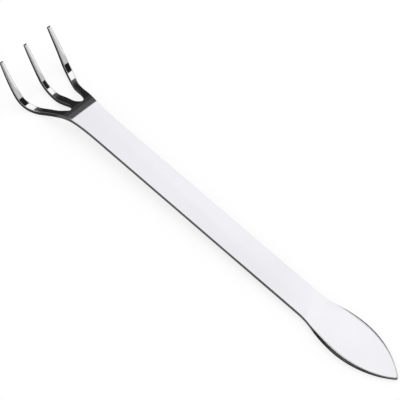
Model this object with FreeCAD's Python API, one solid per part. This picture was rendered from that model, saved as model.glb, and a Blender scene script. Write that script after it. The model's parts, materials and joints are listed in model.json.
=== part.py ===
"""A hand root rake: three hooked tines at one end of a flat strip, a leaf-shaped spatula at the other.

It is stamped and bent from one piece of stainless steel, so it is one solid. Sizes are in millimetres.
The tool is drawn with its handle level and its upper face at z = 0, the bend starting at x = 0, the
tines towards -X and the spatula towards +X. At the end it is laid down the way it rests on a table.
"""
import math
import os

import FreeCAD
import Part

# Strip and handle
THICK = 1.9
HANDLE_HALF = 6.35

# Side view of the rake: down from the handle, round the hook, then up the tines
DROP_RADIUS = 15.5
DROP_ANGLE = 27.0
DROP_RUN = 7.85
HOOK_RADIUS = 9.7
RISE_ANGLE = 51.5
TINE_RUN = 17.1
TIP_ANGLE = 57.0
TIP_THICK = 1.05

# Plan view of the rake: how far out the outer tines run, and half the width of each tine
FLARE_START = 16.0
SHOULDER_HALF = 7.05
GAP_END = -5.0
GAP_INNER = 2.15
GAP_OUTER = 4.75
GAP_ROUND = 1.05
OUTER_AT_DROP = 7.2
OUTER_AT_RUN = 9.1
OUTER_AT_HOOK = 10.95
OUTER_AT_RISE = 13.05
OUTER_AT_TIP = 13.3
OUTER_HALF_DROP = 1.25
OUTER_HALF_RUN = 1.37
OUTER_HALF_HOOK = 1.48
OUTER_HALF_RISE = 1.34
OUTER_HALF_TIP = 0.7
MIDDLE_HALF_ROOT = 1.6
MIDDLE_HALF_HOOK = 1.32
MIDDLE_HALF_RISE = 1.08
MIDDLE_HALF_TIP = 0.62

# Spatula outline
LEAF_WIDEST_X = 148.5
LEAF_HALF = 9.55
LEAF_POINT = 25.5
LEAF_BACK_RADIUS = 51.0
NECK_RADIUS = 30.0
POINT_ROUND = 0.8

# Spatula form: a shallow dish that rises and thins to the point, its rim ground off at a slope
DISH_RADIUS = 46.0
DISH_SINK = 0.25
DISH_HALFWAY = 0.8
POINT_LIFT = 0.45
LIFT_HALFWAY = 0.3
POINT_THICK = 1.1
RIM_LEVEL = 0.05
RIM_SLOPE = 45.0

# How far rough shapes reach past the outline that trims them
SPARE = 2.0
FINE = 0.01


def vec(x, y, z=0.0):
    return FreeCAD.Vector(x, y, z)


def polar(degrees):
    angle = math.radians(degrees)
    return vec(math.cos(angle), 0, math.sin(angle))


def line(a, b):
    return Part.LineSegment(a, b).toShape()


def arc(a, b, c):
    return Part.Arc(a, b, c).toShape()


def closed(edges):
    return Part.Wire(Part.__sortEdges__(edges))


def mirrored(shape):
    return shape.mirror(vec(0, 0), vec(0, 1))


def fused(first, *others):
    return first.multiFuse(list(others)).removeSplitter()


# Side view

class SideLine:
    """Where the middle line of the bent strip passes from each stretch to the next."""

    def __init__(self):
        self.start = vec(0, 0, -THICK / 2)
        self.drop_centre = self.start - vec(0, 0, DROP_RADIUS)
        self.drop = self.drop_centre + polar(90 + DROP_ANGLE) * DROP_RADIUS
        self.run = self.drop - polar(DROP_ANGLE) * DROP_RUN
        self.hook_centre = self.run + polar(90 + DROP_ANGLE) * HOOK_RADIUS
        self.rise = self.hook_centre + polar(270 - RISE_ANGLE) * HOOK_RADIUS
        self.tip = self.rise + polar(180 - (RISE_ANGLE + TIP_ANGLE) / 2) * TINE_RUN


def off_line(point, slope, thick, face):
    """The point half a thickness off the middle line: above it for face 1, below it for face -1."""
    return point + polar(90 - slope) * (face * thick / 2)


def along(start, way, end):
    """The arc that leaves start the given way and ends at end."""
    chord = end - start
    across = way - chord * (way.dot(chord) / chord.dot(chord))
    bulge = chord.Length / 2 * math.tan(way.getAngle(chord) / 2)
    return arc(start, start + chord / 2 + across.normalize() * bulge, end)


def face_edges(side, face):
    """One face of the bent strip in side view, from the handle to a tine's tip."""
    half = face * THICK / 2
    level = off_line(side.start, 0, THICK, face)
    drop = off_line(side.drop, -DROP_ANGLE, THICK, face)
    run = off_line(side.run, -DROP_ANGLE, THICK, face)
    rise = off_line(side.rise, RISE_ANGLE, THICK, face)
    tip = off_line(side.tip, TIP_ANGLE, TIP_THICK, face)
    mid_drop = side.drop_centre + polar(90 + DROP_ANGLE / 2) * (DROP_RADIUS + half)
    mid_hook = side.hook_centre + polar(270 + (DROP_ANGLE - RISE_ANGLE) / 2) * (HOOK_RADIUS - half)
    edges = [line(level + vec(FLARE_START, 0), level), arc(level, mid_drop, drop), line(drop, run),
             arc(run, mid_hook, rise), along(rise, polar(180 - RISE_ANGLE), tip)]
    return edges, level + vec(FLARE_START, 0), tip


def bent_strip(side):
    top, top_end, top_tip = face_edges(side, 1)
    low, low_end, low_tip = face_edges(side, -1)
    profile = closed(top + low + [line(top_tip, low_tip), line(top_end, low_end)])
    return Part.Face(profile).extrude(vec(0, OUTER_AT_TIP + OUTER_HALF_RISE + SPARE, 0))


# Plan view of the rake

def outer_edge(side, end_x):
    """Out along the tool's side: the flare of the handle, then the outer side of the outer tine."""
    points = [vec(FLARE_START, HANDLE_HALF), vec(0, SHOULDER_HALF),
              vec(side.drop.x, OUTER_AT_DROP + OUTER_HALF_DROP),
              vec(side.run.x, OUTER_AT_RUN + OUTER_HALF_RUN),
              vec(side.hook_centre.x, OUTER_AT_HOOK + OUTER_HALF_HOOK),
              vec(side.rise.x, OUTER_AT_RISE + OUTER_HALF_RISE),
              vec(end_x, OUTER_AT_TIP + OUTER_HALF_TIP)]
    curve = Part.BSplineCurve()
    curve.interpolate(Points=points, InitialTangent=vec(-1, 0), FinalTangent=points[-1] - points[-2])
    return curve.toShape(), points[0], points[-1]


def gap_edge(side, end_x):
    """In along the outer tine, round the end of the gap and out along the middle tine."""
    points = [vec(end_x, OUTER_AT_TIP - OUTER_HALF_TIP),
              vec(side.rise.x, OUTER_AT_RISE - OUTER_HALF_RISE),
              vec(side.hook_centre.x, OUTER_AT_HOOK - OUTER_HALF_HOOK),
              vec(side.run.x, OUTER_AT_RUN - OUTER_HALF_RUN),
              vec(GAP_END - GAP_ROUND, GAP_OUTER),
              vec(GAP_END, (GAP_INNER + GAP_OUTER) / 2),
              vec(GAP_END - GAP_ROUND, GAP_INNER),
              vec((side.drop.x + side.run.x) / 2, MIDDLE_HALF_ROOT),
              vec(side.hook_centre.x, MIDDLE_HALF_HOOK),
              vec(side.rise.x, MIDDLE_HALF_RISE),
              vec(end_x, MIDDLE_HALF_TIP)]
    curve = Part.BSplineCurve()
    curve.interpolate(points)
    return curve.toShape(), points[0], points[-1]


def rake(side):
    """The bent strip cut to the plan of one side, then mirrored to the other."""
    end_x = side.tip.x - SPARE
    outer, outer_start, outer_end = outer_edge(side, end_x)
    gap, gap_start, gap_end = gap_edge(side, end_x)
    foot, middle_end = vec(FLARE_START, 0), vec(end_x, 0)
    plan = Part.Face(closed([outer, line(outer_end, gap_start), gap, line(gap_end, middle_end),
                             line(middle_end, foot), line(foot, outer_start)]))
    band = bent_strip(side)
    plan.translate(vec(0, 0, band.BoundBox.ZMin - SPARE))
    half = plan.extrude(vec(0, 0, band.BoundBox.ZLength + 2 * SPARE)).common(band)
    return fused(half, mirrored(half))


# Handle and spatula

def handle(neck_x):
    bar = Part.makeBox(neck_x - FLARE_START, 2 * HANDLE_HALF, THICK)
    bar.translate(vec(FLARE_START, -HANDLE_HALF, -THICK))
    return bar


def neck_start():
    """Where the neck's hollow curve leaves the handle's straight side."""
    reach = LEAF_BACK_RADIUS + NECK_RADIUS
    rise = reach - (LEAF_HALF - HANDLE_HALF)
    return LEAF_WIDEST_X - math.sqrt(reach ** 2 - rise ** 2)


def between(centre, first, last):
    """The arc from first to last about the centre, the short way."""
    middle = (first - centre) + (last - centre)
    return arc(first, centre + middle.normalize() * (first - centre).Length, last)


def leaf_wire(inset, level):
    """The spatula's outline drawn in by inset, as a closed wire at one level."""
    half, bar = LEAF_HALF - inset, HANDLE_HALF - inset
    back, neck = LEAF_BACK_RADIUS - inset, NECK_RADIUS + inset
    front = (LEAF_POINT ** 2 + LEAF_HALF ** 2) / (2 * LEAF_HALF) - inset
    nose = POINT_ROUND ** 2 / (POINT_ROUND + inset)
    neck_x = neck_start()
    neck_centre = vec(neck_x, bar + neck)
    back_centre = vec(LEAF_WIDEST_X, half - back)
    front_centre = vec(LEAF_WIDEST_X, half - front)
    nose_centre = vec(LEAF_WIDEST_X + math.sqrt((front - nose) ** 2 - front_centre.y ** 2), 0)
    root, side_start = vec(neck_x - SPARE, bar), vec(neck_x, bar)
    neck_end = back_centre + (neck_centre - back_centre) * (back / (back + neck))
    widest = vec(LEAF_WIDEST_X, half)
    nose_start = front_centre + (nose_centre - front_centre) * (front / (front - nose))
    point = nose_centre + vec(nose, 0)
    upper = [line(root, side_start), between(neck_centre, side_start, neck_end),
             between(back_centre, neck_end, widest), between(front_centre, widest, nose_start),
             between(nose_centre, nose_start, point)]
    root_line = line(root, vec(root.x, -root.y))
    wire = closed(upper + [mirrored(edge) for edge in upper] + [root_line])
    wire.translate(vec(0, 0, level))
    return wire


def dish_section(x, level, dished, thick):
    """A cross-section wider than the outline, its sides raised by a parabola from the level given."""
    half = LEAF_HALF + SPARE
    raised = dished * half ** 2 / (2 * DISH_RADIUS)
    edges = []
    for top in (level, level - thick):
        face = Part.BezierCurve()
        face.setPoles([vec(x, -half, top + raised), vec(x, 0, top - raised), vec(x, half, top + raised)])
        edges.append(face.toShape())
    rim = level + raised
    edges += [line(vec(x, edge, rim), vec(x, edge, rim - thick)) for edge in (-half, half)]
    return closed(edges)


def dished_sheet(neck_x):
    """Flat at the neck, then dished; from the widest place on, it rises and thins to the point."""
    point_x = LEAF_WIDEST_X + LEAF_POINT
    front_level = LIFT_HALFWAY * (POINT_LIFT + DISH_SINK) - DISH_SINK
    front_thick = (THICK + POINT_THICK) / 2
    sections = [dish_section(neck_x - SPARE, 0, 0, THICK),
                dish_section(neck_x, 0, 0, THICK),
                dish_section((neck_x + LEAF_WIDEST_X) / 2, -DISH_SINK / 2, DISH_HALFWAY, THICK),
                dish_section(LEAF_WIDEST_X, -DISH_SINK, 1, THICK),
                dish_section((LEAF_WIDEST_X + point_x) / 2, front_level, 1, front_thick),
                dish_section(point_x + SPARE, POINT_LIFT, 1, POINT_THICK)]
    return Part.makeLoft(sections, True, False)


def spatula(neck_x):
    """The dished sheet cut to the outline, and above the rim level to a slope that runs inwards."""
    highest = POINT_LIFT + LEAF_HALF ** 2 / (2 * DISH_RADIUS)
    inset = (highest - RIM_LEVEL) / math.tan(math.radians(RIM_SLOPE))
    upright = Part.Face(leaf_wire(0, RIM_LEVEL)).extrude(vec(0, 0, -RIM_LEVEL - THICK - SPARE))
    slope = Part.makeLoft([leaf_wire(0, RIM_LEVEL), leaf_wire(inset, highest)], True, True)
    return dished_sheet(neck_x).common(fused(upright, slope))


# The whole tool

def turned(shape, degrees):
    copy = shape.copy()
    copy.rotate(vec(0, 0), vec(0, 1), degrees)
    return copy


def lowest(shape):
    return min(point.z for point in shape.tessellate(FINE)[0])


def rest_angle(side, leaf):
    """The turn about Y at which the hooks and the spatula's belly are equally low."""
    span = LEAF_WIDEST_X - side.hook_centre.x
    angle = 0.0
    error = span
    while abs(error) > FINE:
        hook_low = turned(Part.Vertex(side.hook_centre), angle).Point.z - HOOK_RADIUS - THICK / 2
        error = lowest(turned(leaf, angle)) - hook_low
        angle += math.degrees(math.atan2(error, span))
    return angle


def laid_down(tool, angle):
    """The tool turned to its rest, standing on z = 0 with its middle over the origin."""
    tool = turned(tool, angle)
    ends = [point.x for point in tool.tessellate(FINE)[0]]
    shift = vec(-(min(ends) + max(ends)) / 2, 0, -lowest(tool))
    tool.translate(shift)
    print("turned", round(angle, 4), "shifted", [round(value, 4) for value in shift])
    return tool


def build():
    side = SideLine()
    neck_x = neck_start()
    leaf = spatula(neck_x)
    tool = fused(rake(side), handle(neck_x - SPARE), leaf)
    return laid_down(tool, rest_angle(side, leaf))


if __name__ == "__main__":
    tool = build()
    box = tool.BoundBox
    print("solids", len(tool.Solids), "valid", tool.isValid(), "volume", round(tool.Volume, 1))
    print("box", round(box.XLength, 2), round(box.YLength, 2), round(box.ZLength, 2))
    os.makedirs("parts", exist_ok=True)
    tool.exportStep("parts/rake.step")
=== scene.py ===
import json
import math

import bmesh
import bpy
import numpy as np
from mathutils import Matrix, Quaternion, Vector


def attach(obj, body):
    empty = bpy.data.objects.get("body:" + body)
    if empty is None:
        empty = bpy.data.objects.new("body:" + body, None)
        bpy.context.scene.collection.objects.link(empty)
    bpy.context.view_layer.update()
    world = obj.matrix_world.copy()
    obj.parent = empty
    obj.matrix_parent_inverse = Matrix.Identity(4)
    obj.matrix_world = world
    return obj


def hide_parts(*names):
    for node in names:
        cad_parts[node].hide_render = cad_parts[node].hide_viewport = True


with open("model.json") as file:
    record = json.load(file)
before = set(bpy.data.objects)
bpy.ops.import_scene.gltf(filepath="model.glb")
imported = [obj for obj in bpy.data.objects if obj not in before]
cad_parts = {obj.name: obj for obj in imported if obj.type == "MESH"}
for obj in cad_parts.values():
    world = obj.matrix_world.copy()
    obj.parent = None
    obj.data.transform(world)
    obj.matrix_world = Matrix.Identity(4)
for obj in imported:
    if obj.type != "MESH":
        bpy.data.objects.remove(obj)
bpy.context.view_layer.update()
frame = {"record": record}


# Camera
# It stands at the spatula's right, far off with a long lens, and looks down on the tool at 55 degrees.
CAMERA_AZIMUTH = 41.83
CAMERA_ELEVATION = 54.63
CAMERA_ROLL = 3.39
CAMERA_DISTANCE = 1.262
CAMERA_AIM = (-0.00688, 0.00391, 0.004)
CAMERA_LENS = 282.76


def direction(azimuth, elevation):
    """The unit vector towards a place round the tool: azimuth 0 lies towards -Y and 90 towards +X."""
    azimuth, elevation = math.radians(azimuth), math.radians(elevation)
    level = math.cos(elevation)
    return Vector((math.sin(azimuth) * level, -math.cos(azimuth) * level, math.sin(elevation)))


camera = bpy.data.objects.new("camera", bpy.data.cameras.new("camera"))
camera.data.lens = CAMERA_LENS
camera.location = Vector(CAMERA_AIM) + direction(CAMERA_AZIMUTH, CAMERA_ELEVATION) * CAMERA_DISTANCE
aim = (Vector(CAMERA_AIM) - camera.location).to_track_quat("-Z", "Y")
camera.rotation_mode = "QUATERNION"
camera.rotation_quaternion = aim @ Quaternion((0, 0, 1), math.radians(CAMERA_ROLL))
bpy.context.collection.objects.link(camera)
bpy.context.scene.camera = camera
bpy.context.scene.view_settings.view_transform = "Standard"


# Table and light
# A white table and background under one wide soft lamp. Grey and black cards stand round the tool and
# lie on the table, and show in mirror images only, so that the steel has more than white to mirror.
TABLE_SIZE = 8.0
TABLE_COLOUR = (0.9, 0.9, 0.9, 1)
TABLE_GLOW = 0.78
SKY_LEVEL = 0.95
LAMP_SIZE = 1.3
LAMP_DISTANCE = 1.7
LAMP_POWER = 6.8
LAMP_AZIMUTH = 215.0
LAMP_ELEVATION = 66.0

# Each card is a patch of a sphere: the centre and radius in metres, the turns it spans about the tool's
# cross axis and its leans towards +Y in degrees, and its grey level. Turn 0 lies level towards +X, 90
# straight above and 180 towards -X.
TINES = (-0.078, 0, 0.004)
LEAF = (0.08, 0, 0.003)
CARDS = {
    "card_fold": (TINES, 0.25, (118, 137), (4, 42), 0.09),
    "card_behind": (TINES, 0.25, (137, 152), (4, 42), 0.045),
    "card_behind_low": (TINES, 0.25, (152, 184), (4, 42), 0.02),
    "card_behind_edge": (TINES, 0.25, (118, 184), (-50, 4), 0.2),
    "card_behind_rim": (TINES, 0.25, (118, 184), (-89, -50), 0.05),
    "card_over": (TINES, 3.0, (24, 73), (14, 36), 0.012),
    "card_over_edge": (TINES, 3.0, (24, 73), (-66, 14), 0.03),
    "card_ahead": (TINES, 3.0, (9.5, 24), (-16, 40), 0.56),
    "card_ahead_low": (TINES, 3.0, (0, 9.5), (-16, 40), 0.82),
    "card_above": (TINES, 1.2, (101.5, 117), (-10, 26), 0.96),
    "card_front": (LEAF, 0.06, (75, 184), (-62, -12), 0.012),
    "card_front_point": (LEAF, 0.06, (35, 75), (-62, -12), 0.012),
    "card_far": (LEAF, 0.06, (60, 184), (54, 88), 0.1),
    "card_room": (LEAF, 1.5, (1, 179), (-89, -16), 0.42),
}
CARD_STEPS = 12

# Cards laid on the table: the extents along X and Y in metres, and the grey level
TABLE_CARDS = {
    "table_card_tines": ((-0.6, -0.078), (-0.1, 0.35), 0.04),
    "table_card_handle": ((-0.078, 0.066), (-0.06, 0.006), 0.13),
    "table_card_beyond": ((-0.078, 0.066), (0.09, 0.2), 0.13),
    "table_card_leaf": ((0.066, 0.16), (-0.06, 0.1), 0.012),
}
TABLE_CARD_LIFT = 0.00002


def seen_by_eye_or_mirror(nodes, links):
    """1 for a ray from the camera, off a glossy surface or through glass, and 0 for any other."""
    path = nodes.new("ShaderNodeLightPath")
    first = nodes.new("ShaderNodeMath")
    first.operation = "MAXIMUM"
    links.new(path.outputs["Is Camera Ray"], first.inputs[0])
    links.new(path.outputs["Is Glossy Ray"], first.inputs[1])
    second = nodes.new("ShaderNodeMath")
    second.operation = "MAXIMUM"
    links.new(first.outputs[0], second.inputs[0])
    links.new(path.outputs["Is Transmission Ray"], second.inputs[1])
    return second.outputs[0]


def panel(name, points):
    """A staged surface through a grid of points."""
    rows, columns = points.shape[:2]
    index = np.arange(rows * columns).reshape(rows, columns)
    corners = np.stack([index[:-1, :-1], index[:-1, 1:], index[1:, 1:], index[1:, :-1]], -1)
    mesh = bpy.data.meshes.new(name)
    mesh.from_pydata(points.reshape(-1, 3), [], corners.reshape(-1, 4))
    surface = bpy.data.objects.new(name, mesh)
    bpy.context.collection.objects.link(surface)
    return surface


def level_grid(x_range, y_range, height):
    """The four corners of a level rectangle, as a grid."""
    across, along = np.meshgrid(y_range, x_range)
    return np.stack([along, across, np.full(along.shape, height)], -1)


def glowing(name, level):
    """A plain emitting material of one grey level."""
    material = bpy.data.materials.new(name)
    material.use_nodes = True
    nodes, links = material.node_tree.nodes, material.node_tree.links
    nodes.clear()
    glow = nodes.new("ShaderNodeEmission")
    glow.inputs["Color"].default_value = (level, level, level, 1)
    links.new(glow.outputs[0], nodes.new("ShaderNodeOutputMaterial").inputs["Surface"])
    return material


def dark_card(name, points, level):
    """A card of one grey level that shows in glossy reflections and nowhere else."""
    card = panel(name, points)
    card.data.materials.append(glowing(name, level))
    card.visible_camera = False
    card.visible_diffuse = False
    card.visible_transmission = False
    card.visible_shadow = False


table_side = (-TABLE_SIZE / 2, TABLE_SIZE / 2)
table = panel("table", level_grid(table_side, table_side, 0))
table_paint = bpy.data.materials.new("table_white")
table_paint.use_nodes = True
nodes, links = table_paint.node_tree.nodes, table_paint.node_tree.links
nodes.clear()
paint = nodes.new("ShaderNodeBsdfDiffuse")
paint.inputs["Color"].default_value = TABLE_COLOUR
glow = nodes.new("ShaderNodeEmission")
share = nodes.new("ShaderNodeMath")
share.operation = "MULTIPLY"
share.inputs[1].default_value = TABLE_GLOW
links.new(seen_by_eye_or_mirror(nodes, links), share.inputs[0])
mix = nodes.new("ShaderNodeMixShader")
links.new(share.outputs[0], mix.inputs["Fac"])
links.new(paint.outputs[0], mix.inputs[1])
links.new(glow.outputs[0], mix.inputs[2])
links.new(mix.outputs[0], nodes.new("ShaderNodeOutputMaterial").inputs["Surface"])
table.data.materials.append(table_paint)

world = bpy.data.worlds.new("white_room")
bpy.context.scene.world = world
world.use_nodes = True
nodes, links = world.node_tree.nodes, world.node_tree.links
nodes.clear()
sky = nodes.new("ShaderNodeBackground")
level = nodes.new("ShaderNodeMapRange")
level.inputs["To Min"].default_value = SKY_LEVEL
level.inputs["To Max"].default_value = 1.0
links.new(seen_by_eye_or_mirror(nodes, links), level.inputs["Value"])
links.new(level.outputs["Result"], sky.inputs["Strength"])
sky.inputs["Color"].default_value = (1, 1, 1, 1)
links.new(sky.outputs[0], nodes.new("ShaderNodeOutputWorld").inputs["Surface"])

lamp = bpy.data.objects.new("soft_lamp", bpy.data.lights.new("soft_lamp", "AREA"))
lamp.data.size = LAMP_SIZE
lamp.data.energy = LAMP_POWER
lamp.location = direction(LAMP_AZIMUTH, LAMP_ELEVATION) * LAMP_DISTANCE
lamp.rotation_euler = direction(LAMP_AZIMUTH, LAMP_ELEVATION).to_track_quat("Z", "Y").to_euler()
lamp.visible_glossy = False
bpy.context.collection.objects.link(lamp)

for name, (centre, distance, turns, leans, grey) in CARDS.items():
    lean, turn = np.meshgrid(np.linspace(*leans, CARD_STEPS), np.linspace(*turns, CARD_STEPS))
    lean, turn = np.radians(lean), np.radians(turn)
    towards = np.stack([np.cos(lean) * np.cos(turn), np.sin(lean), np.cos(lean) * np.sin(turn)], -1)
    dark_card(name, np.array(centre) + towards * distance, grey)

for name, (x_range, y_range, grey) in TABLE_CARDS.items():
    dark_card(name, level_grid(x_range, y_range, TABLE_CARD_LIFT), grey)


# Root rake
# One strip of stainless steel, stamped, bent and ground: a flat handle, three hooked tines and a leaf-
# shaped spatula. It is drawn level with its upper face at 0, in millimetres, and then laid as it rests.
THICK = 1.9
HANDLE_HALF = 6.35
MOUNT_FROM_BEND = 60.0

# The fold, the hooks and the tines' straight ends, along the strip's middle line
DROP_RADIUS = 15.5
DROP_ANGLE = 27.0
DROP_RUN = 7.85
HOOK_RADIUS = 9.7
RISE_ANGLE = 51.5
TINE_RUN = 17.1
TIP_ANGLE = 57.0
TIP_THICK = 1.05

# The outline in plan. The middles and halves of the tines stand at the ends of the drop, the run, the
# hook's low point, the hook and the tine; the outlines run past both ends of the tool by the trim.
TRIM = 2.0
FLARE_START = 16.0
SHOULDER_HALF = 7.05
GAP_END = -5.0
GAP_INNER = 2.15
GAP_OUTER = 4.75
GAP_ROUND = 1.05
OUTER_MIDDLES = (7.2, 9.1, 10.95, 13.05, 13.3)
OUTER_HALVES = (1.25, 1.37, 1.48, 1.34, 0.7)
MIDDLE_HALVES = (1.6, 1.32, 1.08, 0.62)

# The spatula's outline, dish and ground rim
LEAF_WIDEST = 148.5
LEAF_HALF = 9.55
LEAF_POINT = 25.5
LEAF_BACK_RADIUS = 51.0
NECK_RADIUS = 30.0
POINT_ROUND = 0.8
DISH_RADIUS = 46.0
DISH_SINK = 0.25
DISH_HALFWAY = 0.8
POINT_LIFT = 0.45
LIFT_HALFWAY = 0.3
POINT_THICK = 1.1
RIM_LEVEL = 0.05

# Polishing: the crowns are slopes in degrees at the sides of a face, and the rounds are edge radii
CROWN_SLOPE = 1.6
TINE_CROWN = 20.0
CROWN_REACH = 6.0
EDGE_ROUND = 0.15
TINE_ROUND = 0.36
TIP_ROUND = 0.08
ROUND_REACH = 20.0
CREASE_GROWTH = 2.3

# How finely the surfaces are drawn
TINE_ROWS = 120
TIP_ROWS = 5
NOTCH_CROWDING = 1.8
TINE_COLUMNS = 10
SHOULDER_ROWS = 28
HANDLE_ROWS = 24
LEAF_ROWS = 90
NOSE_ROWS = 14
FIRST_ROW_STEP = 0.9
EDGE_STEPS = (6, 4, 6)
LINE_STEPS = 4000
PATH_STEPS = 3000
ARC_STEPS = 750
MERGE_DISTANCE = 1e-7
MM_PER_M = 1000


def smooth_path(points, first_way=None, last_way=None):
    """Even steps along the cubic spline through the points.

    On a span of length h between points P and Q, at shares a and b of the way, the place is
    aP + bQ + ((a^3 - a)M + (b^3 - b)N)h^2/6. The bends M and N make the direction run on from span
    to span; at a free end the bend is nought, or else it makes the path leave in first_way or arrive in
    last_way."""
    points = np.array(points, float)
    reach = np.concatenate(([0], np.cumsum(np.linalg.norm(np.diff(points, axis=0), axis=1))))
    span = np.diff(reach)
    slopes = np.diff(points, axis=0) / span[:, None]
    inner = np.arange(1, len(points) - 1)
    system = np.eye(len(points))
    right = np.zeros_like(points)
    system[inner, inner - 1] = span[:-1]
    system[inner, inner] = 2 * (span[:-1] + span[1:])
    system[inner, inner + 1] = span[1:]
    right[inner] = 6 * np.diff(slopes, axis=0)
    if first_way is not None:
        system[0, :2] = 2 * span[0], span[0]
        right[0] = 6 * (slopes[0] - first_way)
    if last_way is not None:
        system[-1, -2:] = span[-1], 2 * span[-1]
        right[-1] = 6 * (last_way - slopes[-1])
    bends = np.linalg.solve(system, right)
    at = np.linspace(0, reach[-1], PATH_STEPS)
    k = np.clip(np.searchsorted(reach, at) - 1, 0, len(span) - 1)
    a = ((reach[k + 1] - at) / span[k])[:, None]
    b = 1 - a
    curved = (a ** 3 - a) * bends[k] + (b ** 3 - b) * bends[k + 1]
    return a * points[k] + b * points[k + 1] + curved * span[k, None] ** 2 / 6


# The middle line of the bent strip. Places along the strip are developed lengths from the bend, negative
# towards the tines; the slope is a broken line over that length, even round an arc and constant between.
DROP_END = -DROP_RADIUS * math.radians(DROP_ANGLE)
RUN_END = DROP_END - DROP_RUN
HOOK_LOW = RUN_END - HOOK_RADIUS * math.radians(DROP_ANGLE)
HOOK_END = HOOK_LOW - HOOK_RADIUS * math.radians(RISE_ANGLE)
TINE_END = HOOK_END - TINE_RUN
line_at = np.linspace(TINE_END, 0, LINE_STEPS)
line_slope = np.radians(np.interp(line_at, (TINE_END, HOOK_END, RUN_END, DROP_END, 0),
                                  (TIP_ANGLE, RISE_ANGLE, -DROP_ANGLE, -DROP_ANGLE, 0)))
step_slope = (line_slope[1:] + line_slope[:-1]) / 2
line_x = np.concatenate(([0], np.cumsum(np.cos(step_slope) * np.diff(line_at))))
line_x -= line_x[-1]
line_z = np.concatenate(([0], np.cumsum(-np.sin(step_slope) * np.diff(line_at))))
line_z -= line_z[-1] + THICK / 2


def plan_x(along):
    """How far from the bend a developed length reaches in plan: the running sum of the slope's cosine."""
    return np.interp(along, line_at, line_x) + np.maximum(along, 0)


def developed(x):
    """The developed length that reaches x in plan."""
    return np.interp(x, line_x, line_at) + np.maximum(x, 0)


def bent(along, across, height):
    """Points of the flat pattern carried onto the bent strip.

    The middle line's point at that length, plus the height above it along the line's own upward normal,
    (sine, cosine) of the slope, with the distance across kept."""
    slope = np.interp(along, line_at, line_slope)
    up = height + THICK / 2
    return np.stack([plan_x(along) + np.sin(slope) * up, np.broadcast_to(across, along.shape),
                     np.interp(along, line_at, line_z) + np.cos(slope) * up], -1)


def with_normals(path, side):
    """Columns along, across, and the unit normal of a path: its direction of travel turned a quarter,
    to the left for side 1 and to the right for side -1."""
    way = np.gradient(path, axis=0)
    way /= np.linalg.norm(way, axis=1)[:, None]
    return np.column_stack([path, -side * way[:, 1], side * way[:, 0]])


def arc_path(centre, radius, start, end):
    """Points on a circle's arc between two angles in degrees."""
    angle = np.radians(np.linspace(start, end, ARC_STEPS))
    return np.array(centre) + radius * np.column_stack([np.cos(angle), np.sin(angle)])


# Outlines in plan: the outer side from a tine's tip to the spatula's point, and the gap between tines
stations = plan_x(np.array([DROP_END, RUN_END, HOOK_LOW, HOOK_END, TINE_END]))
stations[-1] -= TRIM
outer_side = np.array(OUTER_MIDDLES) + OUTER_HALVES
shoulder_points = [(FLARE_START, HANDLE_HALF), (0, SHOULDER_HALF)]
rake_points = np.vstack([shoulder_points, np.column_stack([stations, outer_side])])
tip_way = rake_points[-1] - rake_points[-2]
tip_way /= np.linalg.norm(tip_way)
rake_side = smooth_path(rake_points, (-1, 0), tip_way)

inner_side = np.array(OUTER_MIDDLES) - OUTER_HALVES
gap_end = [(GAP_END - GAP_ROUND, GAP_OUTER), (GAP_END, (GAP_INNER + GAP_OUTER) / 2),
           (GAP_END - GAP_ROUND, GAP_INNER)]
root_x = (stations[0] + stations[1]) / 2
middle_points = np.column_stack([[root_x, *stations[2:]], MIDDLE_HALVES])
gap = smooth_path(np.vstack([np.column_stack([stations, inner_side])[:0:-1], gap_end, middle_points]))

reach = LEAF_BACK_RADIUS + NECK_RADIUS
NECK_START = LEAF_WIDEST - math.sqrt(reach ** 2 - (reach - LEAF_HALF + HANDLE_HALF) ** 2)
front_radius = (LEAF_POINT ** 2 + LEAF_HALF ** 2) / (2 * LEAF_HALF)
neck_middle = (NECK_START, HANDLE_HALF + NECK_RADIUS)
back_middle = (LEAF_WIDEST, LEAF_HALF - LEAF_BACK_RADIUS)
front_middle = (LEAF_WIDEST, LEAF_HALF - front_radius)
nose_middle = (LEAF_WIDEST + math.sqrt((front_radius - POINT_ROUND) ** 2 - front_middle[1] ** 2), 0)
neck_turn = math.degrees(math.atan2(back_middle[1] - neck_middle[1], back_middle[0] - neck_middle[0]))
nose_turn = math.degrees(math.atan2(-front_middle[1], nose_middle[0] - LEAF_WIDEST))
straight = np.column_stack([np.linspace(FLARE_START, NECK_START, ARC_STEPS),
                            np.full(ARC_STEPS, HANDLE_HALF)])
side = np.vstack([rake_side[::-1], straight[1:], arc_path(neck_middle, NECK_RADIUS, -90, neck_turn)[1:],
                  arc_path(back_middle, LEAF_BACK_RADIUS, neck_turn + 180, 90)[1:],
                  arc_path(front_middle, front_radius, 90, nose_turn)[1:],
                  arc_path(nose_middle, POINT_ROUND, nose_turn, 0)[1:]])
side[:, 0] = developed(side[:, 0])
side = with_normals(side, 1)
side_reach = np.concatenate(([0], np.cumsum(np.hypot(*np.diff(side[:, :2], axis=0).T))))
gap[:, 0] = developed(gap[:, 0])
gap = with_normals(gap, -1)
notch = int(np.argmax(gap[:, 0]))
NOTCH = gap[notch, 0]


def looked_up(key, keys, columns):
    """Each column read off at the keys, between the two nearest of its values."""
    return np.column_stack([np.interp(key, keys, column) for column in columns.T])


def mirrored(edge):
    """The same edge on the tool's other side."""
    return edge * (1, -1, 1, -1)


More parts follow.
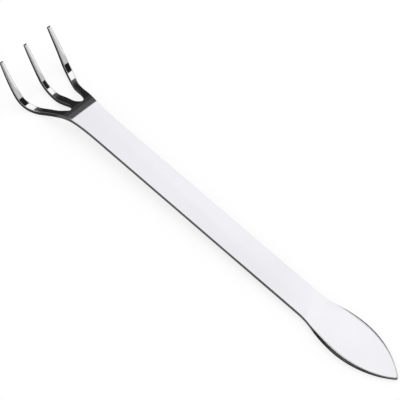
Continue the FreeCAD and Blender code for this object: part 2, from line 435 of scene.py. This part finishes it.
# Sheet thickness and the level of the upper face, over the developed length
leaf_knots = np.array([NECK_START - TRIM, NECK_START, (NECK_START + LEAF_WIDEST) / 2, LEAF_WIDEST,
                       LEAF_WIDEST + LEAF_POINT / 2, LEAF_WIDEST + LEAF_POINT + TRIM])
front_level = LIFT_HALFWAY * (POINT_LIFT + DISH_SINK) - DISH_SINK
knot_levels = [0, 0, -DISH_SINK / 2, -DISH_SINK, front_level, POINT_LIFT]
leaf_levels = smooth_path(np.column_stack([leaf_knots, knot_levels]))
leaf_dish = smooth_path(np.column_stack([leaf_knots, [0, 0, DISH_HALFWAY, 1, 1, 1]]))


def thickness(along):
    """Even along the handle, thinning with the square of the way up each tine and evenly to the point."""
    tine = np.clip((HOOK_END - along) / TINE_RUN, 0, 1)
    leaf = np.clip((along - LEAF_WIDEST) / LEAF_POINT, 0, 1)
    return THICK - (THICK - TIP_THICK) * tine ** 2 - (THICK - POINT_THICK) * leaf


def plain_face(along, across):
    """Height of the upper face: half the lost thickness below 0 on a tine, and on the leaf its level
    plus the dish's share of a parabola, the square of the distance across over twice the radius."""
    tine_loss = np.where(along < 0, (THICK - thickness(along)) / 2, 0)
    level = np.interp(along, *leaf_levels.T)
    dish = np.interp(along, *leaf_dish.T)
    return level + dish * across ** 2 / (2 * DISH_RADIUS) - tine_loss


def upper_face(along, across):
    """The upper face as polished: the handle falls away from its middle line, with the square of the
    distance across, to the crown's slope at its sides. The crown fades out along the leaf and tines."""
    share = (1 - np.interp(along, *leaf_dish.T)) * np.clip(1 + along / ROUND_REACH, 0, 1)
    return plain_face(along, across) - share * math.radians(CROWN_SLOPE) * across ** 2 / (2 * HANDLE_HALF)


def edge_radius(along):
    """How far the edges are rounded: most on the hooks, less on the handle and leaf and at the tips."""
    knots = (TINE_END, HOOK_END, -ROUND_REACH, 0)
    return np.interp(along, knots, (TIP_ROUND, TINE_ROUND, TINE_ROUND, EDGE_ROUND))


def tine_crown(along):
    """Slope, in radians, of the face's sides on the tines' straight ends, which are ground round. It
    grows evenly from nought at the end of the hook."""
    return math.radians(TINE_CROWN) * np.clip((HOOK_END - along) / CROWN_REACH, 0, 1)


def edge_round(edge, half, radius, shrink):
    """The outline's edge from the upper face round to the lower: distance out, and height, on each row.

    Three arcs with straights between: from the face's own slope to 45 degrees down, from there to
    upright, and from upright to the lower face. The face's slope is the dish's less the tine's crown.
    Where the face stands above the rim level, the 45-degree straight between the first two arcs is the
    ground rim, and the first arc's radius grows with its width; elsewhere the two arcs meet."""
    along, across, _, out_y = edge.T[:, :, None]
    radius = radius[:, None]
    shrink = shrink[:, None]
    crown = tine_crown(along)
    slope = np.arctan(np.interp(along, *leaf_dish.T) * across * out_y / DISH_RADIUS) - crown
    face = upper_face(along, across) - crown * (half[:, None] + radius) / 2 - shrink
    ground = (face - RIM_LEVEL) / (1 + np.tan(slope))
    least = radius * (2 - math.sqrt(2))
    bevel = np.maximum(ground, least)
    crease = face - bevel * np.tan(slope)
    soft = radius + CREASE_GROWTH * (bevel - least)
    under = plain_face(along, across) - thickness(along) + shrink
    halfway, upright = np.radians(-45.0), np.radians(-90.0)
    turns = [(slope, halfway), (halfway, upright), (upright, slope - np.pi)]
    tangent = [soft * np.tan((math.pi / 4 + slope) / 2), radius * math.tan(math.pi / 8),
               radius * np.tan((math.pi / 2 - slope) / 2)]
    first_out = -bevel - tangent[0] * np.cos(slope) + soft * np.sin(slope)
    first_up = crease - tangent[0] * np.sin(slope) - soft * np.cos(slope)
    middles = [(first_out, first_up), (-radius, crease - bevel - tangent[1]),
               (-radius, under + tangent[2])]
    outs, ups = [], []
    arcs = zip(middles, turns, (soft, radius, radius), EDGE_STEPS)
    for (middle_out, middle_up), (start, end), bend, steps in arcs:
        angle = start + (end - start) * np.linspace(0, 1, steps)
        outs.append(middle_out - bend * np.sin(angle))
        ups.append(middle_up + bend * np.cos(angle))
    return np.hstack(outs), np.hstack(ups)


def carried(edge, outs, ups, shrink):
    """An edge's rounded section set along it: the outline moved by each distance out along its normal."""
    outs = outs - shrink[:, None]
    along = edge[:, 0, None] + outs * edge[:, 2, None]
    across = edge[:, 1, None] + outs * edge[:, 3, None]
    return np.stack([along, across, ups], -1)


def sheet(first, last, shares, lower, shrink):
    """A face of the strip between two edges: straight rows in plan at the given shares of the way.

    The upper face falls away on both sides by the tine's crown: its slope times the half width, times
    half the square of the place across, which runs from -1 to 1."""
    start, end = first[:, None, :2], last[:, None, :2]
    plan = start + (end - start) * shares[:, None]
    if lower:
        height = plain_face(plan[..., 0], plan[..., 1]) - thickness(plan[..., 0]) + shrink[:, None]
    else:
        half = np.abs(last[:, None, 1] - first[:, None, 1]) / 2
        crown = tine_crown(plan[..., 0]) * half * (2 * shares - 1) ** 2 / 2
        height = upper_face(plan[..., 0], plan[..., 1]) - crown - shrink[:, None]
    flat = np.concatenate([plan, height[..., None]], -1)
    flat[:, 0] = first
    flat[:, -1] = last
    return flat


def strip_part(first, last, shares, radius, shrink):
    """The closed skin of a stretch of strip between two edges, as rows of points round its section.

    Returns the upper face, the last edge, the lower face and the first edge, in that order round.
    Shrink is how far the section draws in on each row, where an end is rounded."""
    half = np.abs(last[:, 1] - first[:, 1]) / 2
    first_edge = carried(first, *edge_round(first, half, radius, shrink), shrink)
    last_edge = carried(last, *edge_round(last, half, radius, shrink), shrink)
    upper = sheet(first_edge[:, 0], last_edge[:, 0], shares, False, shrink)
    lower = sheet(first_edge[:, -1], last_edge[:, -1], shares, True, shrink)
    return upper, last_edge, lower, first_edge


def tine(first, last):
    """A tine from the notch to its tip, with its rows closest near the notch. At the tip the section
    shrinks along a quarter circle, to round the end."""
    turn = np.radians(np.linspace(0, 90, TIP_ROWS))
    start = TINE_END + TIP_ROUND
    rows = NOTCH + (start - NOTCH) * np.linspace(0, 1, TINE_ROWS) ** NOTCH_CROWDING
    along = np.concatenate([rows, start - TIP_ROUND * np.sin(turn[1:])])
    shrink = np.concatenate([np.zeros(TINE_ROWS), TIP_ROUND * (1 - np.cos(turn[1:]))])
    shares = (1 - np.cos(np.linspace(0, np.pi, TINE_COLUMNS + 1))) / 2
    edges = [looked_up(along, path[:, 0], path) for path in (first, last)]
    radius = np.maximum(edge_radius(along) - shrink, 0)
    radius[-1] = 0
    return strip_part(*edges, shares, radius, shrink)


outer_edge = side[:np.searchsorted(side[:, 0], NOTCH + 1)]
gap_outer, gap_middle = gap[:notch + 1], gap[notch:][::-1]
left_tine = tine(gap_outer, outer_edge)
middle_tine = tine(mirrored(gap_middle), gap_middle)
right_tine = tine(mirrored(outer_edge), mirrored(gap_outer))

# The handle and spatula, from the notch to the point, closest where the outline turns most
notch_reach = np.interp(NOTCH, side[:, 0], side_reach)
marks = np.interp([NOTCH + FIRST_ROW_STEP, FLARE_START, NECK_START], side[:, 0], side_reach)
nose_reach = side_reach[-1] - math.radians(90) * POINT_ROUND
stops = [*marks, nose_reach, side_reach[-1]]
counts = (SHOULDER_ROWS, HANDLE_ROWS, LEAF_ROWS, NOSE_ROWS)
stretches = [np.linspace(start, end, count)[:-1] for start, end, count in zip(stops, stops[1:], counts)]
rows = np.concatenate([[notch_reach], *stretches, [side_reach[-1]]])
long_edge = looked_up(rows, side_reach, side)
first_row = [np.concatenate([right_tine[k][0], middle_tine[k][0][1:], left_tine[k][0][1:]])
             for k in (0, 2)]
shares = (1 + first_row[0][:, 1] / first_row[0][-1, 1]) / 2
long_round = edge_radius(long_edge[:, 0])
handle = strip_part(mirrored(long_edge), long_edge, shares, long_round, np.zeros(len(rows)))
upper, left_edge, lower, right_edge = handle
upper[0], lower[0] = first_row
left_edge[0], right_edge[0] = left_tine[1][0], right_tine[3][0]


def section_loop(upper, last_edge, lower, first_edge):
    """Rows of points once round: over the upper face, down the last edge, back below and up the first."""
    return np.concatenate([upper, last_edge[:, 1:-1], lower[:, ::-1], first_edge[:, -2:0:-1]], 1)


def skin_faces(rows, columns, closed):
    """Four-cornered faces of a grid of points, joined from the last column to the first if closed."""
    index = np.arange(rows * columns).reshape(rows, columns)
    beside = np.roll(index, -1, 1)
    width = columns if closed else columns - 1
    return np.stack([index[:-1], beside[:-1], beside[1:], index[1:]], -1)[:, :width].reshape(-1, 4)


FACE, EDGE = 0, 1
edge_points = left_edge.shape[1]
vertices, faces, finishes = [], [], []


def add_skin(grid, closed, finish):
    """Adds a grid of points and its faces to the tool's skin, with the finish of each face in a row."""
    faces.append(skin_faces(*grid.shape[:2], closed) + sum(len(points) for points in vertices))
    vertices.append(grid.reshape(-1, 3))
    finishes.append(np.tile(finish, len(grid) - 1))


for part in (handle, left_tine, middle_tine, right_tine):
    loop = section_loop(*part)
    width = part[0].shape[1]
    finish = np.full(loop.shape[1], FACE)
    finish[width - 1:width + edge_points - 2] = EDGE
    finish[2 * width + edge_points - 3:] = EDGE
    add_skin(loop, True, finish)
for part in (left_tine, middle_tine, right_tine):
    end = np.stack([part[0][-1], part[2][-1]])
    add_skin(end, False, np.full(end.shape[1] - 1, EDGE))
points = np.concatenate(vertices)
points = bent(points[:, 0], points[:, 1], points[:, 2])

# From the drawing to the row's frame: the handle's upper face has a mount, which gives its tilt and place
mount = next(m for m in frame["record"]["mounts"] if m["name"] == "handle_top")
up_x, _, up_z = mount["axis"]
along_handle = (points[:, 0] - MOUNT_FROM_BEND) / MM_PER_M
above_handle = points[:, 2] / MM_PER_M
placed = np.column_stack([mount["pos_m"][0] + along_handle * up_z + above_handle * up_x,
                          points[:, 1] / MM_PER_M,
                          mount["pos_m"][2] - along_handle * up_x + above_handle * up_z])

mesh = bpy.data.meshes.new("root_rake")
mesh.from_pydata(placed, [], np.concatenate(faces))
mesh.polygons.foreach_set("material_index", np.concatenate(finishes))
form = bmesh.new()
form.from_mesh(mesh)
bmesh.ops.remove_doubles(form, verts=form.verts, dist=MERGE_DISTANCE)
bmesh.ops.dissolve_degenerate(form, edges=form.edges, dist=MERGE_DISTANCE)
bmesh.ops.recalc_face_normals(form, faces=form.faces)
form.to_mesh(mesh)
form.free()
mesh.polygons.foreach_set("use_smooth", np.ones(len(mesh.polygons), bool))
root_rake = bpy.data.objects.new("root_rake", mesh)
bpy.context.collection.objects.link(root_rake)

# The roots would mirror the neighbouring tines as pale bands, so the tool is left out of mirror images.
root_rake.visible_glossy = False

# Polished steel on the faces, and the ground finish of the cut edges. Both share one pattern: polishing
# lines, soft smudges, slow waves and a few hairline scratches, laid in the tool's own coordinates. The
# tines and the leaf's near half get a brighter base colour than the handle: a painted sheen for their
# brighter reflections.
HANDLE_COLOUR = (0.885, 0.88, 0.914)
# Painted sheen: the leaf's near half gets a brighter colour than the handle, standing in for its brighter
# reflections.
LEAF_SHEEN_COLOUR = (0.91, 0.906, 0.936)
# Painted sheen: the tines get a brighter colour than the handle, standing in for their brighter
# reflections.
TINE_SHEEN_COLOUR = (0.955, 0.95, 0.97)
EDGE_COLOUR = (0.72, 0.72, 0.73)
SMUDGED = 0.97

# How often the pattern's parts repeat to the metre, and the noise levels between which each shows
FACE_LINES = (60, 2200, 2200)
EDGE_LINES = (150, 150, 2600)
SMUDGE_SCALE = 42.0
WAVE_STRETCH = (34, 85, 85)
SCRATCH_STRETCH = (30, 1500, 1500)
SCRATCH_TURN = (0, 0, 0.21)
LINE_RANGE = (0.3, 0.7)
SMUDGE_RANGE = (0.42, 0.66)
SCRATCH_RANGE = (0.7, 0.76)
FINE_DETAIL = 3
PLAIN_DETAIL = 1
PATTERN_PARTS = ("Lines", "Smudges", "Waves", "Scratches")

# Each finish: the roughness, and the heights of the lines and waves in millimetres. The lines and
# smudges change the roughness by these shares of it, and a scratch adds its own.
FACE_FINISH = (0.07, 0.0004, 0.03)
EDGE_FINISH = (0.2, 0.0008, 0.01)
LINE_ROUGHNESS = (0.8, 1.2)
SMUDGE_ROUGHNESS = 0.5
SCRATCH_ROUGHNESS = 0.12

# Where the painted sheen begins and fades, in metres along the tool: the line at the neck leans across it
LEAF_SHEEN_LINE_X = 0.0579
LEAF_SHEEN_LINE_LEAN = 0.634
LEAF_SHEEN_LINE_SOFT = 0.0008
LEAF_SHEEN_FADE = (0.082, 0.103)
TINE_SHEEN_FADE = (-0.084, -0.078)


def new_group(name, inputs, outputs):
    """An empty shader group with the named value and vector sockets."""
    group = bpy.data.node_groups.new(name, "ShaderNodeTree")
    for label, kind in inputs:
        group.interface.new_socket(label, in_out="INPUT", socket_type=kind)
    for label in outputs:
        group.interface.new_socket(label, in_out="OUTPUT", socket_type="NodeSocketFloat")
    return group, group.nodes.new("NodeGroupInput"), group.nodes.new("NodeGroupOutput")


def noise(tree, place, scale, detail):
    """Noise read at a place; the scale is a number, a vector or a socket."""
    nodes, links = tree.nodes, tree.links
    stretch = nodes.new("ShaderNodeVectorMath")
    stretch.operation = "MULTIPLY"
    links.new(place, stretch.inputs[0])
    if isinstance(scale, bpy.types.NodeSocket):
        links.new(scale, stretch.inputs[1])
    else:
        stretch.inputs[1].default_value = scale if isinstance(scale, tuple) else (scale, scale, scale)
    texture = nodes.new("ShaderNodeTexNoise")
    texture.inputs["Scale"].default_value = 1
    texture.inputs["Detail"].default_value = detail
    links.new(stretch.outputs[0], texture.inputs["Vector"])
    return texture.outputs["Fac"]


def ranged(tree, value, low, high, to_low=0.0, to_high=1.0):
    """The value carried from one range to another, and held at its ends."""
    span = tree.nodes.new("ShaderNodeMapRange")
    tree.links.new(value, span.inputs["Value"])
    for label, number in (("From Min", low), ("From Max", high), ("To Min", to_low), ("To Max", to_high)):
        span.inputs[label].default_value = number
    return span.outputs["Result"]


def combined(tree, operation, first, second):
    """A sum, product or the like of a socket and a socket or number."""
    math_node = tree.nodes.new("ShaderNodeMath")
    math_node.operation = operation
    tree.links.new(first, math_node.inputs[0])
    if isinstance(second, bpy.types.NodeSocket):
        tree.links.new(second, math_node.inputs[1])
    else:
        math_node.inputs[1].default_value = second
    return math_node.outputs[0]


pattern, group_in, group_out = new_group(
    "steel_pattern", [("Place", "NodeSocketVector"), ("Line Stretch", "NodeSocketVector")], PATTERN_PARTS)
place = group_in.outputs["Place"]
turned = pattern.nodes.new("ShaderNodeVectorRotate")
turned.rotation_type = "EULER_XYZ"
turned.inputs["Rotation"].default_value = SCRATCH_TURN
pattern.links.new(place, turned.inputs["Vector"])
lines = noise(pattern, place, group_in.outputs["Line Stretch"], FINE_DETAIL)
smudges = ranged(pattern, noise(pattern, place, SMUDGE_SCALE, FINE_DETAIL), *SMUDGE_RANGE)
waves = noise(pattern, place, WAVE_STRETCH, PLAIN_DETAIL)
scratches = noise(pattern, turned.outputs[0], SCRATCH_STRETCH, PLAIN_DETAIL)
scratches = ranged(pattern, scratches, *SCRATCH_RANGE)
for label, socket in zip(PATTERN_PARTS, (lines, smudges, waves, scratches)):
    pattern.links.new(socket, group_out.inputs[label])


def steel(name, line_stretch, roughness, line_height, wave_height):
    """Polished metal with the shared pattern; heights in millimetres. Returns the material, its shader,
    the place in the tool's coordinates and the smudges."""
    material = bpy.data.materials.new(name)
    material.use_nodes = True
    tree = material.node_tree
    nodes, links = tree.nodes, tree.links
    shader = nodes["Principled BSDF"]
    shader.inputs["Metallic"].default_value = 1
    place = nodes.new("ShaderNodeTexCoord").outputs["Object"]
    marks = nodes.new("ShaderNodeGroup")
    marks.node_tree = pattern
    links.new(place, marks.inputs["Place"])
    marks.inputs["Line Stretch"].default_value = line_stretch
    lines, smudges, waves, scratches = (marks.outputs[label] for label in PATTERN_PARTS)
    least, most = (share * roughness for share in LINE_ROUGHNESS)
    dull = combined(tree, "ADD", ranged(tree, lines, *LINE_RANGE, least, most),
                    ranged(tree, smudges, 0, 1, 0, roughness * SMUDGE_ROUGHNESS))
    dull = combined(tree, "ADD", dull, ranged(tree, scratches, 0, 1, 0, SCRATCH_ROUGHNESS))
    links.new(dull, shader.inputs["Roughness"])
    height = combined(tree, "ADD", combined(tree, "MULTIPLY", lines, line_height),
                      combined(tree, "MULTIPLY", waves, wave_height))
    height = combined(tree, "SUBTRACT", height, combined(tree, "MULTIPLY", scratches, line_height))
    bump = nodes.new("ShaderNodeBump")
    bump.inputs["Strength"].default_value = 1
    bump.inputs["Distance"].default_value = 1 / MM_PER_M
    links.new(height, bump.inputs["Height"])
    links.new(bump.outputs["Normal"], shader.inputs["Normal"])
    return material, shader, place, smudges


def blended(tree, share, first, second):
    """A colour between two, each a socket or a constant, by a share."""
    mix = tree.nodes.new("ShaderNodeMix")
    mix.data_type = "RGBA"
    tree.links.new(share, mix.inputs["Factor"])
    for label, colour in (("A", first), ("B", second)):
        socket = next(i for i in mix.inputs if i.name == label and i.type == "RGBA")
        if isinstance(colour, tuple):
            socket.default_value = (*colour, 1)
        else:
            tree.links.new(colour, socket)
    return next(o for o in mix.outputs if o.type == "RGBA")


def smudged(tree, smudges, colour):
    """The colour, and a little darker where the steel is smudged."""
    return blended(tree, smudges, colour, tuple(SMUDGED * channel for channel in colour))


face, shader, place, smudges = steel("polished_face", FACE_LINES, *FACE_FINISH)
tree = face.node_tree
apart = tree.nodes.new("ShaderNodeSeparateXYZ")
tree.links.new(place, apart.inputs[0])
along, across = apart.outputs["X"], apart.outputs["Y"]
# Painted sheen on the leaf: the brighter colour starts at a leaning line at the neck and fades out
# towards the point.
beyond = combined(tree, "ADD", along, combined(tree, "MULTIPLY", across, LEAF_SHEEN_LINE_LEAN))
leaf_sheen_mask = ranged(tree, beyond, LEAF_SHEEN_LINE_X - LEAF_SHEEN_LINE_SOFT, LEAF_SHEEN_LINE_X + LEAF_SHEEN_LINE_SOFT)
leaf_sheen_mask = combined(tree, "MULTIPLY", leaf_sheen_mask, ranged(tree, along, *LEAF_SHEEN_FADE, 1, 0))
handle_tone, leaf_sheen_tone, tine_sheen_tone = (smudged(tree, smudges, colour)
                                     for colour in (HANDLE_COLOUR, LEAF_SHEEN_COLOUR, TINE_SHEEN_COLOUR))
# Painted sheen on the tines: the brighter colour fades out where the tines meet the handle.
off_tine_sheen = ranged(tree, along, *TINE_SHEEN_FADE)
tone = blended(tree, off_tine_sheen, tine_sheen_tone, blended(tree, leaf_sheen_mask, handle_tone, leaf_sheen_tone))
tree.links.new(tone, shader.inputs["Base Color"])

edge, shader, _, smudges = steel("ground_edge", EDGE_LINES, *EDGE_FINISH)
tree = edge.node_tree
tree.links.new(smudged(tree, smudges, EDGE_COLOUR), shader.inputs["Base Color"])
mesh.materials.append(face)
mesh.materials.append(edge)
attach(root_rake, "root")
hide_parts("rake")
